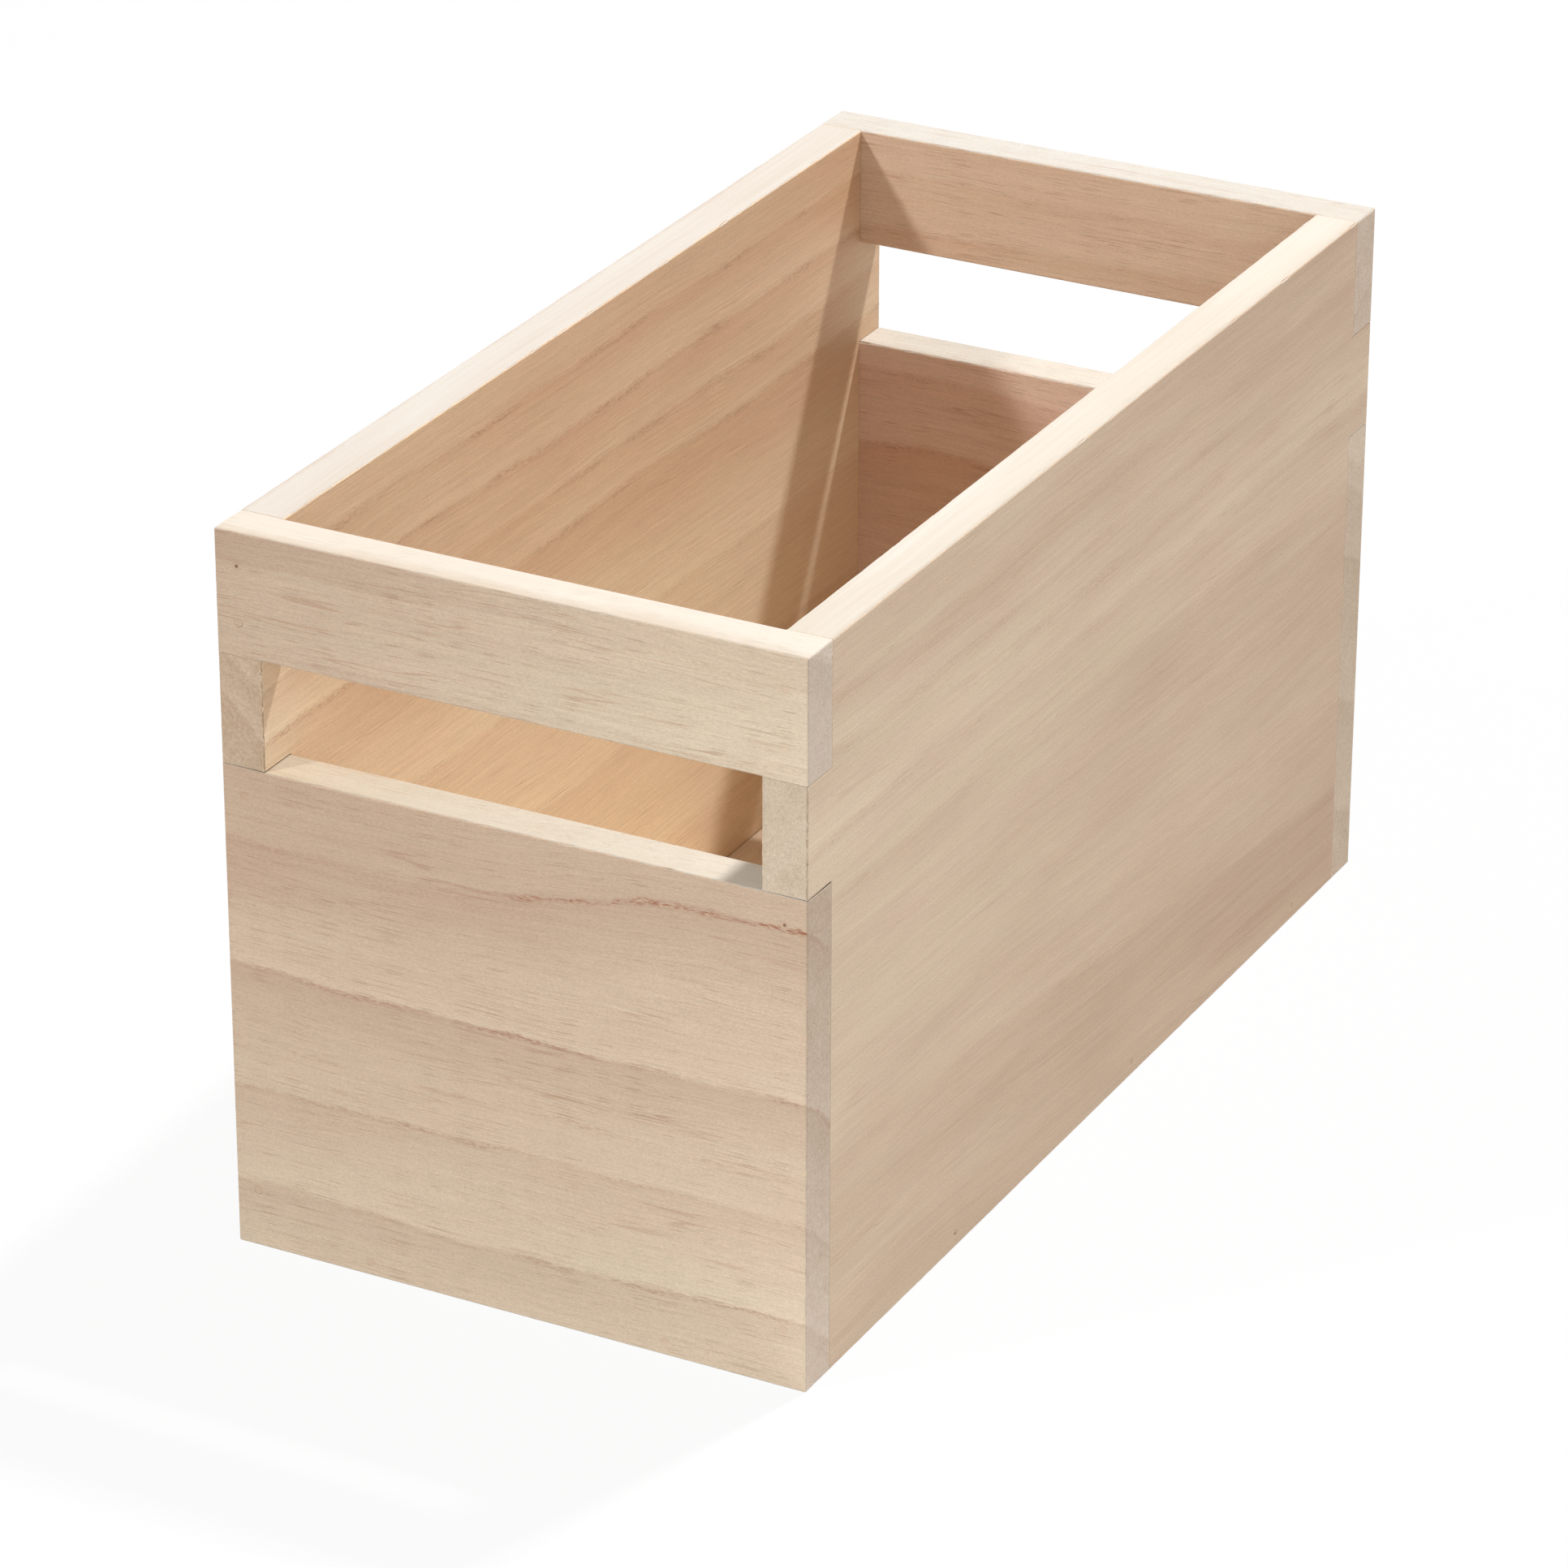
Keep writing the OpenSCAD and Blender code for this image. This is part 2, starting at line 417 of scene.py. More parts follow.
RAMP_MARGIN = 15.0
RIM_STEP = 2.0
LINE_WIDTH = 0.9
DEPTH_LOW = -1.0
DEPTH_SPAN = 3.0
# Heights in mm between which an inner face is painted paler towards its foot: painted bounce light
PAINTED_LIGHT_TOP = 108.0
PAINTED_LIGHT_FOOT = 78.0

# Sizes of what is in the wood, in mm along, across and through the grain
BEND = (80.0, 24.0, 24.0)
WANDER = (18.0, 9.0, 9.0)
FRAY = (2.6, 0.60, 0.60)
LINE_DOT = (1.2, 0.30, 0.30)
LINE_BREAK = (20.0, 7.0, 7.0)
PATCH = (55.0, 12.0, 12.0)
TINT_PATCH = (40.0, 9.0, 9.0)
STREAK = (55.0, 1.0, 1.0)
BLOTCH = (5.0, 5.0, 5.0)
FLECK = (0.9, 0.9, 0.9)
LONG_FIBRE = (28.0, 0.45, 0.45)
SHORT_FIBRE = (7.0, 0.30, 0.30)
SPECK = (0.62, 0.23, 0.23)
HAIR = (60.0, 2.2, 2.2)
HAIR_BREAK = (26.0, 4.0, 4.0)
LONG_PORE = (19.0, 0.28, 0.28)
SHORT_PORE = (7.5, 0.26, 0.26)
PORE_GROUP = (28.0, 7.0, 7.0)

# Where noise or a distance starts to count and where it counts in full
DOT_LIMITS = (-0.10, 0.12)
BREAK_LIMITS = (-0.16, 0.16)
TINT_LIMITS = (-0.2, 0.2)
HAIR_LIMITS = (0.026, 0.004)
HAIR_BREAK_LIMITS = (-0.02, 0.18)
DASH_LIMITS = (0.40, 0.12)

# How far growth lines move in mm, and the share of their climb that the grain follows
BEND_REACH = 5.0
WANDER_REACH = 2.6
FRAY_REACH = 2.2
GRAIN_FOLLOW = 0.5

# What each thing adds to the depth of the colour
BLOTCH_DEPTH = 0.8
FLECK_DEPTH = 1.5
PATCH_DEPTH = 0.4
SOFT_PATCH_DEPTH = 0.5
STREAK_DEPTH = 0.9

# How much each thing lightens or darkens the wood, some of it by the cut
STREAK_LIGHT = 0.08
FIBRE_LIGHT = 0.16
SPECK_LIGHT = {FACE: 0.38, EDGE: 0.34, END: 0.60, INSIDE: 0.30, FILLER: 0.40}
LINE_SHADE = {FACE: 1.35, EDGE: 0.54, END: 0.54, INSIDE: 1.215, FILLER: 0.0}
DOT_SHADE = 1.1
DOT_BASE = 0.1
HAIR_SHADE = 0.30
PORE_SHADE = 0.80
LONG_PORE_SHARE = 0.8
PORE_GROUPING = 1.6
END_FIGURE = 0.8
FILLER_FIGURE = 0.5

# Height of the finest relief in mm, and the sheen of bare wood
STREAK_RELIEF = 0.03
FIBRE_RELIEF = 0.04
PORE_RELIEF = 0.10
HAIR_RELIEF = 0.04
RELIEF_STRENGTH = 0.5
ROUGHNESS = 0.62
FIBRE_ROUGHNESS = 0.15
PORE_ROUGHNESS = 0.2
SPECULAR = 0.3


def parts(value, kind):
    """The parts of a vector or a colour."""
    first = Wire.node(value.tree, kind, None, {0: value})
    return [Wire(value.tree, socket) for socket in first.socket.node.outputs]


def joined(along, across, through):
    """Three numbers joined as a vector."""
    return Wire.node(along.tree, "ShaderNodeCombineXYZ", None, {0: along, 1: across, 2: through})


def board_place(tree, board):
    """Where a point lies in its board: along, across and through the grain, in millimetres."""
    place = parts(Wire.node(tree, "ShaderNodeTexCoord", output="Object"), "ShaderNodeSeparateXYZ")
    lo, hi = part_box(board.node)
    face = {"lo": lo, "hi": hi}[board.shows][AXIS[board.through]] / MM
    along, across, through = (place[AXIS[axis]] / MM for axis in (board.along, board.across, board.through))
    return along, across, through - face


class Grain(NamedTuple):
    """A point in a board.

    It has its height and its place in mm, its place along the bent grain, its height among the growth rings,
    and how far along the board it is, from 0 to 1.
    """

    across: Wire
    place: Wire
    bent: Wire
    level: Wire
    slide: Wire


def lay_grain(tree, board):
    """Lay a board's grain: it bends slowly, and some of its growth lines climb."""
    along, across, through = board_place(tree, board)
    climb = board.climb
    rise = eased(along, climb.start, climb.end) * eased(across, climb.still, climb.full) * climb.rise
    place = joined(along, across, through)
    level = across - rise + through * board.lean + cloud(place, BEND, board.seed) * BEND_REACH
    bent = joined(along, level + rise * GRAIN_FOLLOW, through)
    lo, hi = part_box(board.node)
    run = AXIS[board.along]
    slide = (along - lo[run] / MM) / ((hi[run] - lo[run]) / MM)
    return Grain(across, place, bent, level, slide)


def ring_ramp(board, height):
    """The depth of the wood and the darkness of its growth lines at a height in a board."""
    lo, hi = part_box(board.node)
    across = AXIS[board.across]
    low, high = lo[across] / MM, hi[across] / MM
    start = low - RAMP_MARGIN
    span = high + RAMP_MARGIN - start
    bands = [(low, board.foot, 0.0)]
    for ring in board.rings:
        bands.append((ring.height - board.softness - LINE_WIDTH, ring.below, 0.0))
        bands.append((ring.height - board.softness, ring.below, ring.line))
        bands.append((ring.height + board.softness, ring.above, 0.0))
    bands.append((high, board.top, 0.0))
    bands.append((high + RIM_STEP, board.rim, 0.0))
    stops = []
    for place, depth, line in bands:
        stops.append(((place - start) / span, ((depth - DEPTH_LOW) / DEPTH_SPAN, line, 0.0, 1.0)))
    ramp = Wire.node(height.tree, "ShaderNodeValToRGB", {"stops": stops}, {"Fac": (height - start) / span})
    depth, line, _ = parts(ramp, "ShaderNodeSeparateColor")
    return depth * DEPTH_SPAN + DEPTH_LOW, line


def growth_rings(board, grain):
    """The depth and the lines of a board's growth rings, which wander and fray along the fibres."""
    wander = cloud(grain.place, WANDER, board.seed + 1.0, detail=5.0) * WANDER_REACH
    frayed = cloud(grain.place, FRAY, board.seed + 1.5, detail=3.0) * FRAY_REACH
    return ring_ramp(board, grain.level + wander + frayed)


def line_shade(board, cut, grain):
    """How dark growth lines are on a cut: broken, dotted with pores, and changing along the board."""
    dotted = eased(cloud(grain.bent, LINE_DOT, board.seed + 1.7), *DOT_LIMITS) * DOT_SHADE + DOT_BASE
    broken = eased(cloud(grain.bent, LINE_BREAK, board.seed + 1.2), *BREAK_LIMITS) * dotted
    start, end = board.lines
    return broken * (grain.slide * (end - start) + start) * LINE_SHADE[cut]


def hairlines(bent, seed):
    """Thin dark lines that run along the grain and come and go."""
    contour = cloud(bent, HAIR, seed, detail=1.0)
    bare = contour.math("ABSOLUTE", contour, 0.0)
    return eased(bare, *HAIR_LIMITS) * eased(cloud(bent, HAIR_BREAK, seed + 5.0), *HAIR_BREAK_LIMITS)


def dashes(bent, size, share, seed):
    """Dark dashes along the grain, in loose groups: a share of the cells of a given size holds one each."""
    sockets = {"Vector": stretched(bent, size, seed), "Scale": 1.0}
    near = Wire.node(bent.tree, "ShaderNodeTexVoronoi", None, sockets, output="Distance")
    lot = parts(Wire(bent.tree, near.socket.node.outputs["Color"]), "ShaderNodeSeparateColor")[0]
    groups = cloud(bent, PORE_GROUP, seed + 9.0)
    return eased(near, *DASH_LIMITS) * eased(lot + groups * PORE_GROUPING, 1.0 - share, 1.5 - share)


def wood_depth(board, cut, grain, ring_depth, streaks):
    """How deep the colour is: by the growth rings, from end to end, in slow patches and in streaks, and on
    inner faces painted paler towards the foot as painted bounce light.
    """
    seed = board.seed
    if cut == END:
        blotches = cloud(grain.place, BLOTCH, seed + 2.0) * BLOTCH_DEPTH
        flecks = cloud(grain.place, FLECK, seed + 2.5, detail=3.0) * FLECK_DEPTH
        return ring_depth * END_FIGURE + board.butt + (blotches + flecks)
    first, last = board.edge_fade if cut == EDGE and board.edge_fade else board.fade
    faded = grain.slide * (last - first) + first
    patches = cloud(grain.bent, PATCH, seed + 2.0) * (PATCH_DEPTH + SOFT_PATCH_DEPTH * board.softness)
    depth = ring_depth + faded + patches + streaks * (STREAK_DEPTH * board.streaks)
    # Painted light: the inner face is painted paler towards its foot, standing in for bounce light from the
    # bottom panel
    if cut == INSIDE:
        depth = depth - eased(grain.across, PAINTED_LIGHT_TOP, PAINTED_LIGHT_FOOT) * board.painted_foot_light
    return depth


def cut_colours(board, cut, wood):
    """The pale and the deep colour of a cut, under its board's cast. The inner faces' colours are painted
    warm bounce light.
    """
    family = {EDGE: "edge", END: "end", INSIDE: "inside"}.get(cut, "face")
    if board is BOTTOM_PANEL and cut != END:
        family = "panel"
    casts = {EDGE: board.edge_cast, END: board.end_cast, INSIDE: board.inside_cast}
    cast = Vector(casts.get(cut, board.face_cast))
    if cut == FILLER:
        cast *= Vector(wood.filler)
    tones = (getattr(wood, f"{family}_pale"), getattr(wood, f"{family}_deep"))
    return [opaque(part * share for part, share in zip(tone, cast)) for tone in tones]


def wood_material(board, cut, wood):
    """Bare wood for a cut of a board: outer face, narrow edge, sawn end, inner face, or filler to match."""
    material, tree = new_material(f"{board.piece}_{CUT_NAMES[cut]}")
    grain = lay_grain(tree, board)
    bent = grain.bent
    seed = board.seed
    ring_depth, ring_line = growth_rings(board, grain)
    streaks = cloud(bent, STREAK, seed + 3.0, detail=4.0)
    long_fibres = cloud(bent, LONG_FIBRE, seed + 4.0, detail=1.0)
    fibres = long_fibres + cloud(bent, SHORT_FIBRE, seed + 8.0, detail=1.0)
    specks = cloud(bent, SPECK, seed + 5.0, detail=1.0)
    hairs = hairlines(bent, seed + 7.0)
    long_pores = dashes(bent, LONG_PORE, board.pores * LONG_PORE_SHARE, seed)
    pores = larger(long_pores, dashes(bent, SHORT_PORE, board.pores, seed))

    # Colour of the rings first, then patches of tint, then what lightens and darkens it.
    pale, deep = cut_colours(board, cut, wood)
    hue = mixed(wood_depth(board, cut, grain, ring_depth, streaks), pale, deep)
    if cut != EDGE:
        yellow = eased(cloud(bent, TINT_PATCH, seed + 6.0), *TINT_LIMITS)
        hue = tinted(hue, mixed(yellow, opaque(wood.rose), opaque(wood.straw)))
    figure = {EDGE: board.edge, FILLER: FILLER_FIGURE}.get(cut, 1.0)
    fine = fibres * FIBRE_LIGHT + specks * SPECK_LIGHT[cut]
    light = streaks * STREAK_LIGHT + fine * board.fibres
    hue = shaded(hue, 1.0 + light * figure)
    hue = mixed(ring_line * line_shade(board, cut, grain), hue, opaque(wood.line))
    hue = mixed(hairs * (HAIR_SHADE * board.hairs * figure), hue, opaque(wood.pore))
    hue = mixed(pores * (PORE_SHADE * board.pores * figure), hue, opaque(wood.pore))

    raised = streaks * STREAK_RELIEF + fibres * FIBRE_RELIEF
    relief = raised - pores * PORE_RELIEF - hairs * HAIR_RELIEF
    sockets = {"Strength": RELIEF_STRENGTH, "Distance": MM, "Height": relief}
    bump = Wire.node(tree, "ShaderNodeBump", None, sockets)
    surface = Wire.node(
        tree,
        "ShaderNodeBsdfPrincipled",
        None,
        {
            "Base Color": hue,
            "Roughness": ROUGHNESS + fibres * FIBRE_ROUGHNESS + pores * PORE_ROUGHNESS,
            "Specular IOR Level": SPECULAR,
            "Normal": bump,
        },
    )
    show(tree, surface)
    return material


# Boards

SEAT = 0.35 * MM
FINGER_GAP = 0.04 * MM
SHARP = radians(50.0)
FLAT = radians(0.1)
ROUND_STEPS = 3
JOINT_STEPS = 1
RIPPLE = 2.6 * MM
TEAR = 1.3 * MM
CHIP = 5.0 * MM
CHIP_SHIFT = Vector((31.7, 17.3, 5.9))
CHIP_RARITY = 0.42
CHIP_GAIN = 9.0
OPEN_OUTER = 0.25
OPEN_LEFT = 0.35


def board_boxes():
    """The boxes that each board fills: one, or a body and two fingers for a side board."""
    boxes = {board.node: [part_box(board.node)] for board in BOARDS}
    board_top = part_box("front_board")[1]
    rail_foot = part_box("front_rail")[0]
    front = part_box("front_board")[1].y
    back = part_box("back_board")[0].y
    low = board_top.z + FINGER_GAP
    high = rail_foot.z - FINGER_GAP
    for node in ("left_side", "right_side"):
        lo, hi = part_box(node)
        boxes[node] = [
            (Vector((lo.x, front, lo.z)), Vector((hi.x, back, hi.z))),
            (Vector((lo.x, lo.y, low)), Vector((hi.x, front, high))),
            (Vector((lo.x, back, low)), Vector((hi.x, hi.y, high))),
        ]
    return boxes


BOXES = board_boxes()


def block(lo, hi):
    """A box between two corners."""
    shape = bmesh.new()
    bmesh.ops.create_cube(shape, size=1.0)
    bmesh.ops.scale(shape, vec=hi - lo, verts=shape.verts)
    bmesh.ops.translate(shape, vec=(lo + hi) / 2, verts=shape.verts)
    return shape


def split_across(shape, axis, places):
    """Split a shape's faces where planes square to an axis cross them."""
    normal = Vector((0.0, 0.0, 0.0))
    normal[AXIS[axis]] = 1.0
    for place in places:
        geometry = shape.verts[:] + shape.edges[:] + shape.faces[:]
        bmesh.ops.bisect_plane(shape, geom=geometry, plane_co=normal * place, plane_no=normal)


def clean_flats(shape):
    """Dissolve the edges and points that lie within flat faces and straight edges."""
    bmesh.ops.dissolve_limit(shape, angle_limit=FLAT, verts=shape.verts[:], edges=shape.edges[:])


def side_shape(node):
    """A side board with a finger grown from each end."""
    body, front_finger, _ = BOXES[node]
    shape = block(*body)
    low, high = front_finger[0].z, front_finger[1].z
    reach = front_finger[1].y - front_finger[0].y
    split_across(shape, "z", (low, high))
    middles = {face: face.calc_center_median() for face in shape.faces}
    ends = [f for f, at in middles.items() if abs(f.normal.y) > 0.5 and low < at.z < high]
    grown = bmesh.ops.extrude_discrete_faces(shape, faces=ends)["faces"]
    for face in grown:
        outward = copysign(reach, face.calc_center_median().y)
        bmesh.ops.translate(shape, vec=(0.0, outward, 0.0), verts=face.verts)
    clean_flats(shape)
    return shape


def end_shape(node):
    """A rail or an end board, split where the side boards meet it."""
    shape = block(*BOXES[node][0])
    inner = BOXES["right_side"][0][0].x
    split_across(shape, "x", (-inner, inner))
    return shape


def panel_shape(node):
    """The bottom panel."""
    return block(*BOXES[node][0])


def against(place, boxes):
    """Whether a place lies on one of these boxes, or just off it."""
    return any(all(lo[i] - SEAT < place[i] < hi[i] + SEAT for i in range(3)) for lo, hi in boxes)


def sharp_edges(shape):
    """The convex edges of a shape, each with its middle."""
    edges = [e for e in shape.edges if e.is_manifold and e.is_convex and e.calc_face_angle() > SHARP]
    return [(e, (e.verts[0].co + e.verts[1].co) / 2) for e in edges]


def bevel(shape, edges, width, segments):
    """Bevel some edges and return the new faces."""
    made = bmesh.ops.bevel(
        shape, geom=edges, offset=width, offset_type="OFFSET", segments=segments, profile=0.5,
        affect="EDGES", clamp_overlap=False, material=-1,
    )
    shape.normal_update()
    return set(made["faces"])


def wear_at(place, depth):
    """How far an edge is worn back at a place: a faint ripple, and a chip here and there."""
    ripple = 0.5 + 0.5 * noise.noise(place / RIPPLE)
    chip = max(0.0, noise.noise(place / CHIP + CHIP_SHIFT) - CHIP_RARITY)
    return depth * (ripple + CHIP_GAIN * chip)


def tear_at(place, depth):
    """How far a roughly sawn edge is torn back at a place."""
    return depth * max(0.0, 0.5 + noise.noise(place / TEAR) + 0.5 * noise.noise(place / RIPPLE))


def roughly_sawn(node, place):
    """Whether an edge was left as the saw tore it, as the side boards' fingers were."""
    if node not in ("left_side", "right_side"):
        return False
    body_lo, body_hi = BOXES[node][0]
    return not body_lo.y - SEAT < place.y < body_hi.y + SEAT


def soften(shape, node, edges):
    """Round and wear the edges that hands meet, and barely break the ones at the joints."""
    neighbours = [box for other, boxes in BOXES.items() if other != node for box in boxes]
    handled = []
    for edge, middle in sharp_edges(shape):
        if against(middle, neighbours):
            continue
        pitch = edges.wear_pitch / 2 if roughly_sawn(node, middle) else edges.wear_pitch
        cuts = int(edge.calc_length() / pitch)
        split = bmesh.ops.bisect_edges(shape, edges=[edge], cuts=cuts)["geom_split"]
        handled += [edge] + [part for part in split if isinstance(part, bmesh.types.BMEdge)]
    rounded = bevel(shape, list(set(handled)), edges.arris, ROUND_STEPS)
    moves = {}
    for vert in {vert for face in rounded for vert in face.verts}:
        if roughly_sawn(node, vert.co):
            push = vert.normal * -tear_at(vert.co, edges.rough_wear)
        else:
            push = vert.normal * -wear_at(vert.co, edges.wear)
        for face in vert.link_faces:
            if face not in rounded:
                push -= face.normal * push.dot(face.normal)
        moves[vert] = push
    for vert, push in moves.items():
        vert.co += push
    jointed = [edge for edge, middle in sharp_edges(shape) if against(middle, neighbours)]
    bevel(shape, jointed, edges.joint_arris, JOINT_STEPS)
    clean_flats(shape)


def sort_cuts(shape, board):
    """Give each face the wood of its cut: outer face, narrow edge, sawn end or inner face."""
    order = (AXIS[board.through], AXIS[board.across], AXIS[board.along])
    lo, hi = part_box(board.node)
    inward = (CAD_BOX[0] + CAD_BOX[1] - lo - hi)[AXIS[board.through]]
    for face in shape.faces:
        cut = max((FACE, EDGE, END), key=lambda kind: abs(face.normal[order[kind]]))
        if cut == FACE and face.normal[order[FACE]] * inward > 0:
            cut = INSIDE
        face.material_index = cut


def add_piece(name, shape, materials):
    """Make an object of a shape that rides on the bin."""
    mesh = bpy.data.meshes.new(name)
    shape.to_mesh(mesh)
    shape.free()
    for material in materials:
        mesh.materials.append(material)
    made = bpy.data.objects.new(name, mesh)
    bpy.context.scene.collection.objects.link(made)
    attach(made, "root")
    return made


# Brads and their holes

BRAD_HEAD = 1.8 * MM
BRAD_HEAD_HEIGHT = 0.5 * MM
BRAD_SHANK = 1.2 * MM
BRAD_SET = 0.6 * MM
BRAD_LENGTH = 20.0 * MM
BRAD_GAP = 0.05 * MM
HOLE_SIDES = 24

# Shares of a plug's radius and dish, of a pierced plug's depth, and of the way that filler draws aside
PLUG_RIM = 0.25
PLUG_SLOPE = 0.35
RIM_DISH = 0.6
SLOPE_DISH = 0.4
PIERCE_RIM = 0.06
PIERCE_DEPTH = 0.8
SLIP_ASIDE = 0.6

# Steel wire: its colours, the sizes of its patches and pits in mm, and its sheen
STEEL_DULL = (0.36, 0.355, 0.345)
STEEL_BRIGHT = (0.62, 0.61, 0.59)
STEEL_PATCH = (1.5, 1.5, 1.5)
STEEL_PIT = (0.25, 0.25, 0.25)
STEEL_RELIEF = 0.02
STEEL_RELIEF_STRENGTH = 0.4
STEEL_ROUGHNESS = 0.28
PATCH_ROUGHNESS = 0.25


class BradRow(NamedTuple):
    """A node of brads: its board, how many stand each way, and which filler has shrunk or is pierced."""

    node: str
    board: Board
    outward: tuple
    columns: int
    rows: int
    shrunk: tuple = ()
    pierced: tuple = ()


BRAD_ROWS = (
    BradRow("front_rail_brads", FRONT_RAIL, (0, -1, 0), 2, 2, (0,), (1,)),
    BradRow("back_rail_brads", BACK_RAIL, (0, 1, 0), 2, 2, (2,)),
    BradRow("front_board_brads", FRONT_BOARD, (0, -1, 0), 2, 2, (0,), (3,)),
    BradRow("back_board_brads", BACK_BOARD, (0, 1, 0), 2, 2, (1,)),
    BradRow("front_bottom_brads", FRONT_BOARD, (0, -1, 0), 2, 1),
    BradRow("back_bottom_brads", BACK_BOARD, (0, 1, 0), 2, 1),
    BradRow("left_bottom_brads", LEFT_SIDE, (-1, 0, 0), 3, 1, (2,)),
    BradRow("right_bottom_brads", RIGHT_SIDE, (1, 0, 0), 3, 1, (), (0,)),
)


def spread(low, high, count):
    """Places spread evenly from low to high, or their middle for one."""
    if count == 1:
        return [(low + high) / 2]
    return [low + (high - low) * i / (count - 1) for i in range(count)]


def brad_frames(row):
    """A frame in the surface over each brad of a row, with Z outwards."""
    lo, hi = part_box(row.node)
    outward = Vector(row.outward)
    level = 0 if row.outward[0] == 0 else 1
    drive = 1 - level
    radius = BRAD_HEAD / 2
    surface = (hi if outward[drive] > 0 else lo)[drive] + outward[drive] * BRAD_SET
    turn = outward.to_track_quat("Z", "Y").to_matrix().to_4x4()
    frames = []
    for run in spread(lo[level] + radius, hi[level] - radius, row.columns):
        for height in spread(lo.z + radius, hi.z - radius, row.rows):
            place = Vector((0.0, 0.0, height))
            place[level] = run
            place[drive] = surface
            frames.append(Matrix.Translation(place) @ turn)
    return frames


def add_rod(shape, matrix, diameter, top, foot):
    """Add a round rod along a frame's Z, from a foot up to a top."""
    middle = matrix @ Matrix.Translation((0.0, 0.0, (top + foot) / 2))
    bmesh.ops.create_cone(
        shape, cap_ends=True, segments=HOLE_SIDES, radius1=diameter / 2, radius2=diameter / 2,
        depth=top - foot, matrix=middle,
    )


def drill_bits():
    """The shapes that cut the brads' holes: the pits for the heads, and the bores for the shanks."""
    pit = -(BRAD_SET + BRAD_HEAD_HEIGHT)
    pits = bmesh.new()
    bores = bmesh.new()
    for row in BRAD_ROWS:
        for matrix in brad_frames(row):
            add_rod(pits, matrix, BRAD_HEAD + 2 * BRAD_GAP, MM, pit)
            add_rod(bores, matrix, BRAD_SHANK + 2 * BRAD_GAP, pit / 2, pit - BRAD_LENGTH - BRAD_GAP)
    return pits, bores


def drill(made):
    """Cut the brads' holes out of a board."""
    for name, shape in zip(("pits", "bores"), drill_bits()):
        mesh = bpy.data.meshes.new(name)
        shape.to_mesh(mesh)
        shape.free()
        cutter = bpy.data.objects.new(name, mesh)
        bpy.context.scene.collection.objects.link(cutter)
        cut = made.modifiers.new(name, "BOOLEAN")
        cut.operation = "DIFFERENCE"
        cut.solver = "EXACT"
        cut.object = cutter
        depsgraph = bpy.context.evaluated_depsgraph_get()
        drilled = bpy.data.meshes.new_from_object(made.evaluated_get(depsgraph))
        made.modifiers.clear()
        plain = made.data
        made.data = drilled
        bpy.data.meshes.remove(plain)
        bpy.data.objects.remove(cutter)


def add_board(board, shape, context):
    """Finish a board's shape and put it in its node's place."""
    scene = context.scene
    if board is FRONT_BOARD:
        open_joint(shape, scene.bin_edges.joint_open)
    soften(shape, board.node, scene.bin_edges)
    sort_cuts(shape, board)
    materials = [wood_material(board, cut, scene.bin_wood) for cut in (FACE, EDGE, END, INSIDE)]
    made = add_piece(board.piece, shape, materials)
    drill(made)
    made.data.name = board.piece
    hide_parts(board.node)


def open_joint(shape, drop):
    """Lower the board's top at its right end and beside its left finger, so that both joints gape."""
    top = max(vert.co.z for vert in shape.verts)
    right = max(vert.co.x for vert in shape.verts)
    inner = max(vert.co.y for vert in shape.verts)
    left = BOXES["left_side"][0][1].x
    for vert in [vert for vert in shape.verts if vert.co.z > top - SEAT]:
        if vert.co.x > right - SEAT:
            share = 1.0 if vert.co.y > inner - SEAT else OPEN_OUTER
            vert.co.z -= drop * share
        elif abs(vert.co.x - left) < SEAT:
            vert.co.z -= drop * OPEN_LEFT


def add_plug(shape, matrix, radius, dish, pierced):
    """Add a plug of filler that fills a pit down to its brad's head, with a dished or a pierced top."""
    circle = bmesh.ops.create_circle(
        shape, cap_ends=True, segments=HOLE_SIDES, radius=radius, matrix=matrix
    )["verts"]
    top = circle[0].link_faces[0]
    inward = matrix.to_3x3() @ Vector((0.0, 0.0, -1.0))
    sunk = bmesh.ops.extrude_face_region(shape, geom=[top], use_keep_orig=True)["geom"]
    bmesh.ops.translate(
        shape, vec=inward * BRAD_SET, verts=[v for v in sunk if isinstance(v, bmesh.types.BMVert)]
    )
    bmesh.ops.inset_individual(shape, faces=[top], thickness=radius * PLUG_RIM)
    bmesh.ops.translate(shape, vec=inward * dish * RIM_DISH, verts=top.verts)
    bmesh.ops.inset_individual(shape, faces=[top], thickness=radius * PLUG_SLOPE)
    bmesh.ops.translate(shape, vec=inward * dish * SLOPE_DISH, verts=top.verts)
    if pierced:
        bmesh.ops.inset_individual(shape, faces=[top], thickness=radius * PIERCE_RIM)
        bmesh.ops.translate(shape, vec=inward * BRAD_SET * PIERCE_DEPTH, verts=top.verts)


def filler_shape(row, edges):
    """The plugs over a row of brads. Shrunk ones have drawn to one side of their pits."""
    shape = bmesh.new()
    for index, matrix in enumerate(brad_frames(row)):
        radius = BRAD_HEAD / 2 + BRAD_GAP
        slip = Vector((0.0, 0.0, 0.0))
        if index in row.shrunk:
            radius -= edges.filler_slip / 2
            aside = Vector((noise.noise(matrix.translation / MM), SLIP_ASIDE, 0.0)).normalized()
            slip = aside * edges.filler_slip / 2
        place = matrix @ Matrix.Translation(slip)
        add_plug(shape, place, radius - BRAD_GAP / 4, edges.filler_dish, index in row.pierced)
    bmesh.ops.recalc_face_normals(shape, faces=shape.faces)
    return shape


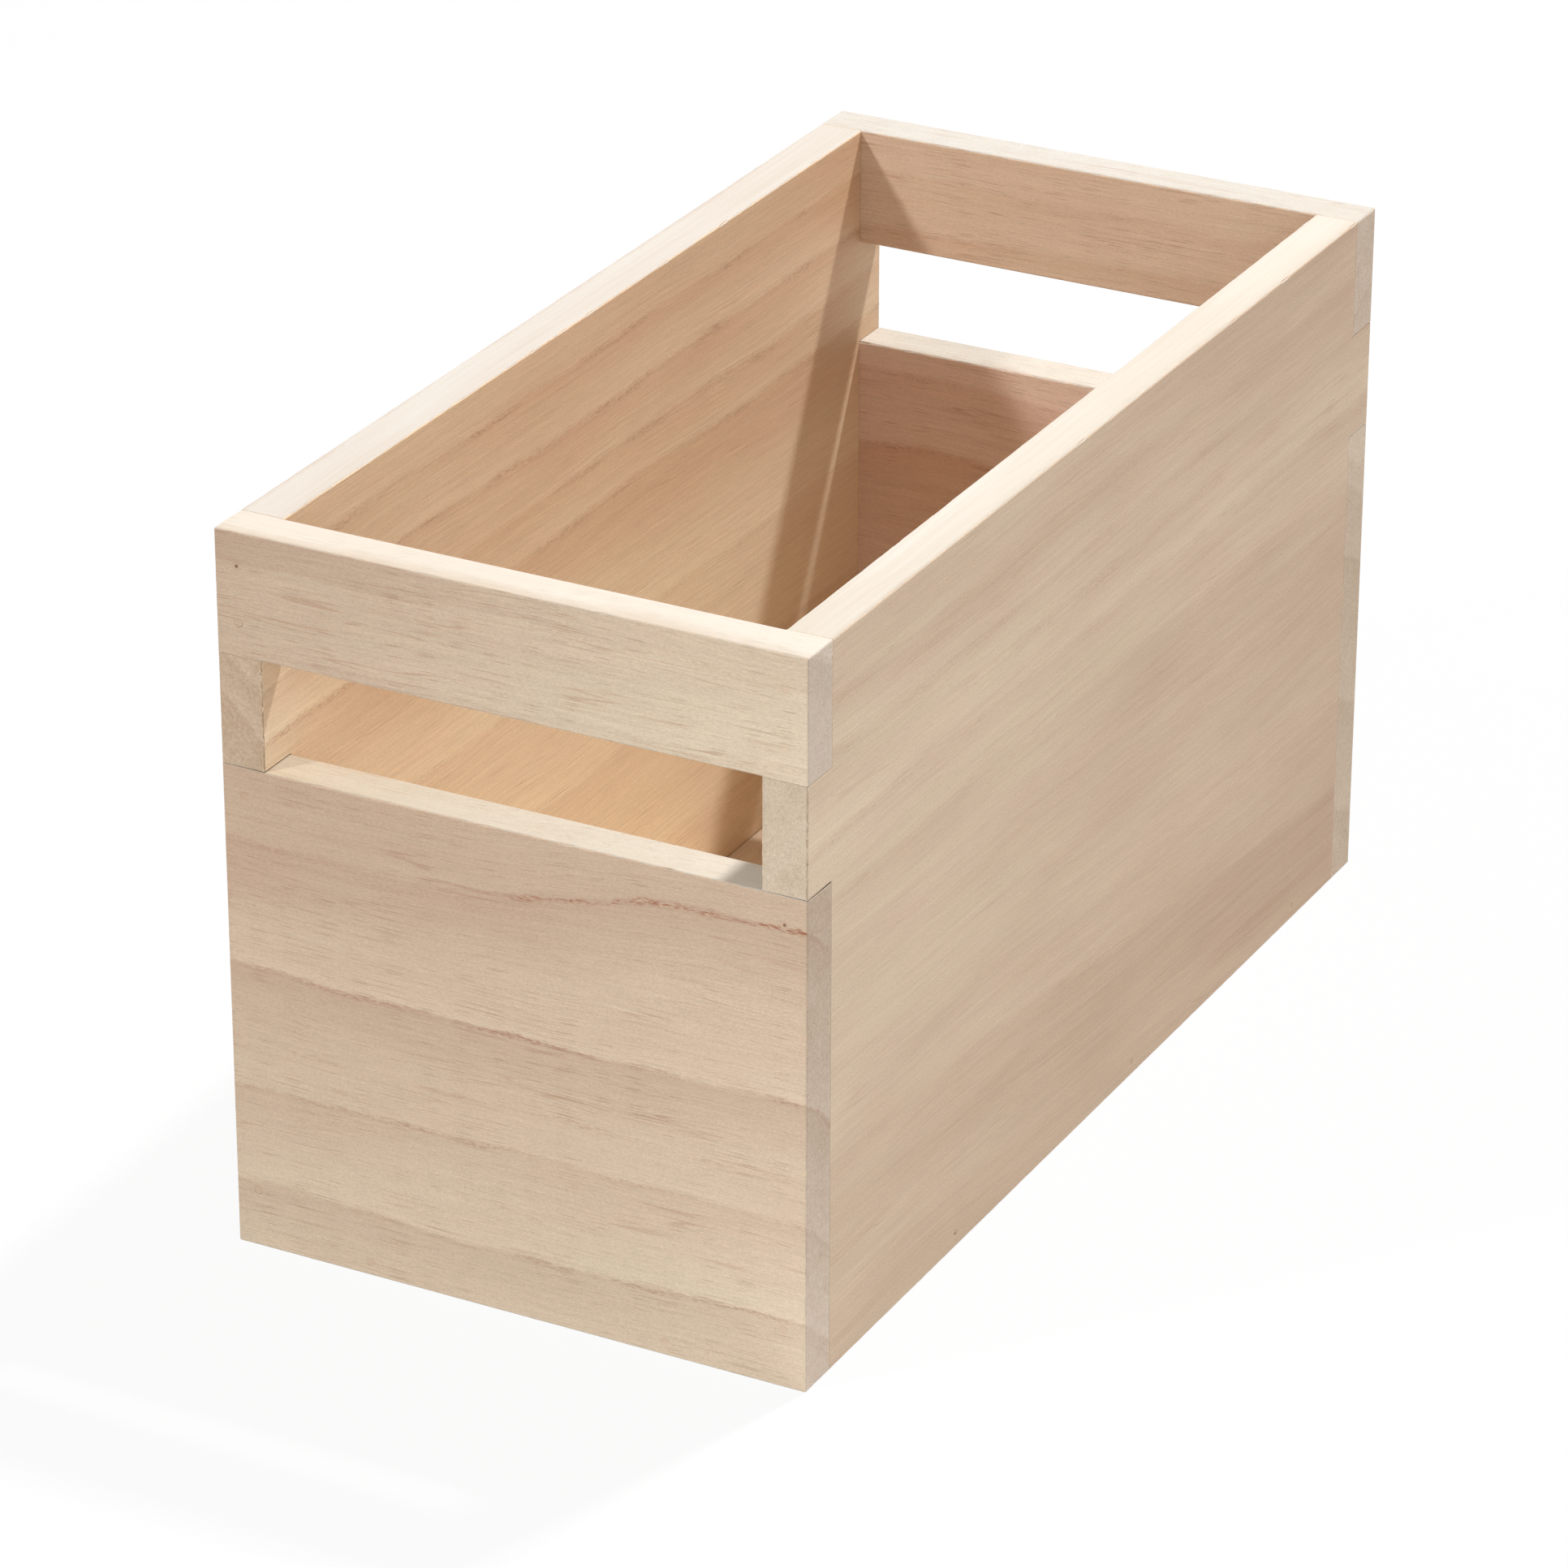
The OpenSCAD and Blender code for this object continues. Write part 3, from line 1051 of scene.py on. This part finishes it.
def steel_material():
    """Steel wire with a finely pitted skin, in duller and brighter patches."""
    material, tree = new_material("brad_wire")
    place = Wire.node(tree, "ShaderNodeTexCoord", output="Object")
    fine = Wire.node(tree, "ShaderNodeVectorMath", {"operation": "SCALE"}, {0: place, "Scale": 1.0 / MM})
    bright = cloud(fine, STEEL_PATCH, 1.0, detail=3.0) + 0.5
    relief = cloud(fine, STEEL_PIT, 4.0) * STEEL_RELIEF
    hue = mixed(bright, opaque(STEEL_DULL), opaque(STEEL_BRIGHT))
    sockets = {"Strength": STEEL_RELIEF_STRENGTH, "Distance": MM, "Height": relief}
    bump = Wire.node(tree, "ShaderNodeBump", None, sockets)
    roughness = STEEL_ROUGHNESS + bright * PATCH_ROUGHNESS
    surface = Wire.node(
        tree,
        "ShaderNodeBsdfPrincipled",
        None,
        {"Base Color": hue, "Metallic": 1.0, "Roughness": roughness, "Normal": bump},
    )
    show(tree, surface)
    return material


# Stage

CAMERA_PLACE = Vector((0.57785, -1.11855, 0.66436))
CAMERA_AZIMUTH = radians(27.697)
CAMERA_ELEVATION = radians(25.683)
CAMERA_ROLL = radians(0.131)
CAMERA_LENS = 158.03
CAMERA_SENSOR = 36.0
KEY_TOWARDS = Vector((0.20, 0.526, 1.0))
KEY_DISTANCE = 2.2
KEY_SIZE = 0.12
SIDE_TOWARDS = Vector((-0.68, -1.0, 1.0))
SIDE_DISTANCE = 2.2
SIDE_SIZE = 0.20
FILL_TOWARDS = Vector((0.62, -0.72, 0.30))
FILL_DISTANCE = 1.5
FILL_SIZE = 1.0
WHITE = (1.0, 1.0, 1.0, 1.0)
FLOOR_SIZE = 12.0
FLOOR_CELLS = 4
FLOOR_GAP = 0.05 * MM


def add_lamp(name, towards, distance, size, strength):
    """A square lamp that gives a face square to it a light of the given strength."""
    lamp = bpy.data.lights.new(name, "AREA")
    lamp.size = size
    lamp.energy = strength * (pi * distance) ** 2
    made = bpy.data.objects.new(name, lamp)
    centre = (CAD_BOX[0] + CAD_BOX[1]) / 2
    direction = towards.normalized()
    made.location = centre + direction * distance
    made.rotation_mode = "QUATERNION"
    made.rotation_quaternion = direction.to_track_quat("Z", "Y")
    bpy.context.scene.collection.objects.link(made)


def plainly_seen(tree):
    """1 for rays that show the surroundings: from the camera, in gloss and through glass."""
    path = tree.nodes.new("ShaderNodeLightPath")
    camera, glossy, clear = (
        Wire(tree, path.outputs[f"Is {kind} Ray"]) for kind in ("Camera", "Glossy", "Transmission")
    )
    return larger(camera, larger(glossy, clear))


def floor_material(stage):
    """A pale floor that keeps the shadow and shows mostly plain white."""
    material, tree = new_material("floor_paint")
    matt = Wire.node(tree, "ShaderNodeBsdfDiffuse", None, {"Color": opaque(stage.floor)})
    white = Wire.node(tree, "ShaderNodeEmission", None, {"Color": WHITE, "Strength": 1.0})
    share = plainly_seen(tree) * stage.floor_glow
    surface = Wire.node(tree, "ShaderNodeMixShader", None, {0: share, 1: matt, 2: white})
    show(tree, surface)
    return material


def add_floor(stage):
    """The floor under the bin."""
    shape = bmesh.new()
    bmesh.ops.create_grid(shape, x_segments=FLOOR_CELLS, y_segments=FLOOR_CELLS, size=FLOOR_SIZE / 2)
    bmesh.ops.translate(shape, vec=(0.0, 0.0, -FLOOR_GAP), verts=shape.verts)
    mesh = bpy.data.meshes.new("floor")
    shape.to_mesh(mesh)
    shape.free()
    mesh.materials.append(floor_material(stage))
    made = bpy.data.objects.new("floor", mesh)
    bpy.context.scene.collection.objects.link(made)


def add_world(stage):
    """White surroundings that light the bin evenly."""
    world = bpy.data.worlds.new("surroundings")
    world.use_nodes = True
    tree = world.node_tree
    tree.nodes.clear()
    strength = stage.sky + (1.0 - stage.sky) * plainly_seen(tree)
    sky = Wire.node(tree, "ShaderNodeBackground", None, {"Color": WHITE, "Strength": strength})
    Wire.node(tree, "ShaderNodeOutputWorld", None, {"Surface": sky})
    bpy.context.scene.world = world


def add_camera():
    """The camera, at the photograph's angle."""
    lens = bpy.data.cameras.new("camera")
    lens.lens = CAMERA_LENS
    lens.sensor_width = CAMERA_SENSOR
    made = bpy.data.objects.new("camera", lens)
    turn = (
        Matrix.Rotation(CAMERA_AZIMUTH, 4, "Z")
        @ Matrix.Rotation(pi / 2 - CAMERA_ELEVATION, 4, "X")
        @ Matrix.Rotation(CAMERA_ROLL, 4, "Z")
    )
    made.matrix_world = Matrix.Translation(CAMERA_PLACE) @ turn
    bpy.context.scene.collection.objects.link(made)
    bpy.context.scene.camera = made


# Operators

class AddSideBoards(bpy.types.Operator):
    """Add the two side boards with their through fingers"""

    bl_idname = "storage_bin.add_side_boards"
    bl_label = "Side boards"

    def execute(self, context):
        for board in (LEFT_SIDE, RIGHT_SIDE):
            add_board(board, side_shape(board.node), context)
        return {"FINISHED"}


class AddRails(bpy.types.Operator):
    """Add the rails over the hand slots"""

    bl_idname = "storage_bin.add_rails"
    bl_label = "Rails"

    def execute(self, context):
        for board in (FRONT_RAIL, BACK_RAIL):
            add_board(board, end_shape(board.node), context)
        return {"FINISHED"}


class AddEndBoards(bpy.types.Operator):
    """Add the end boards under the hand slots"""

    bl_idname = "storage_bin.add_end_boards"
    bl_label = "End boards"

    def execute(self, context):
        for board in (FRONT_BOARD, BACK_BOARD):
            add_board(board, end_shape(board.node), context)
        return {"FINISHED"}


class AddBottomPanel(bpy.types.Operator):
    """Add the bottom panel"""

    bl_idname = "storage_bin.add_bottom_panel"
    bl_label = "Bottom panel"

    def execute(self, context):
        add_board(BOTTOM_PANEL, panel_shape(BOTTOM_PANEL.node), context)
        return {"FINISHED"}


class AddFillers(bpy.types.Operator):
    """Add the plugs of filler over the brads"""

    bl_idname = "storage_bin.add_fillers"
    bl_label = "Filler plugs"

    def execute(self, context):
        pastes = {}
        for row in BRAD_ROWS:
            board = row.board
            if board.piece not in pastes:
                pastes[board.piece] = wood_material(board, FILLER, context.scene.bin_wood)
            name = row.node.replace("brads", "fillers")
            shape = filler_shape(row, context.scene.bin_edges)
            add_piece(name, shape, [pastes[board.piece]])
        return {"FINISHED"}


class FinishBrads(bpy.types.Operator):
    """Give the brads their steel"""

    bl_idname = "storage_bin.finish_brads"
    bl_label = "Brad steel"

    def execute(self, context):
        steel = steel_material()
        for row in BRAD_ROWS:
            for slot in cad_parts[row.node].material_slots:
                slot.material = steel
        return {"FINISHED"}


class AddStage(bpy.types.Operator):
    """Add the floor, the surroundings, the lamps and the camera"""

    bl_idname = "storage_bin.add_stage"
    bl_label = "Stage"

    def execute(self, context):
        stage = context.scene.bin_stage
        context.scene.view_settings.view_transform = "Standard"
        add_floor(stage)
        add_world(stage)
        add_lamp("key_lamp", KEY_TOWARDS, KEY_DISTANCE, KEY_SIZE, stage.key)
        add_lamp("side_lamp", SIDE_TOWARDS, SIDE_DISTANCE, SIDE_SIZE, stage.side)
        add_lamp("fill_lamp", FILL_TOWARDS, FILL_DISTANCE, FILL_SIZE, stage.fill)
        add_camera()
        return {"FINISHED"}


STEPS = (AddSideBoards, AddRails, AddEndBoards, AddBottomPanel, AddFillers, FinishBrads, AddStage)


class StorageBinPanel(bpy.types.Panel):
    """Lists the steps that build the bin, and its settings"""

    bl_idname = "VIEW3D_PT_storage_bin"
    bl_label = "Storage bin"
    bl_space_type = "VIEW_3D"
    bl_region_type = "UI"
    bl_category = "Bin"

    def draw(self, context):
        for step in STEPS:
            self.layout.operator(step.bl_idname)
        for group in (context.scene.bin_wood, context.scene.bin_edges, context.scene.bin_stage):
            box = self.layout.box()
            for name in group.bl_rna.properties.keys():
                if name not in ("rna_type", "name"):
                    box.prop(group, name)


CLASSES = (WoodSettings, EdgeSettings, StageSettings, *STEPS, StorageBinPanel)


def register():
    for kind in CLASSES:
        bpy.utils.register_class(kind)
    bpy.types.Scene.bin_wood = PointerProperty(type=WoodSettings)
    bpy.types.Scene.bin_edges = PointerProperty(type=EdgeSettings)
    bpy.types.Scene.bin_stage = PointerProperty(type=StageSettings)


def unregister():
    del bpy.types.Scene.bin_stage
    del bpy.types.Scene.bin_edges
    del bpy.types.Scene.bin_wood
    for kind in reversed(CLASSES):
        bpy.utils.unregister_class(kind)


def main():
    register()
    bpy.ops.storage_bin.add_side_boards()
    bpy.ops.storage_bin.add_rails()
    bpy.ops.storage_bin.add_end_boards()
    bpy.ops.storage_bin.add_bottom_panel()
    bpy.ops.storage_bin.add_fillers()
    bpy.ops.storage_bin.finish_brads()
    bpy.ops.storage_bin.add_stage()
    bpy.context.view_layer.update()


if __name__ == "__main__":
    main()
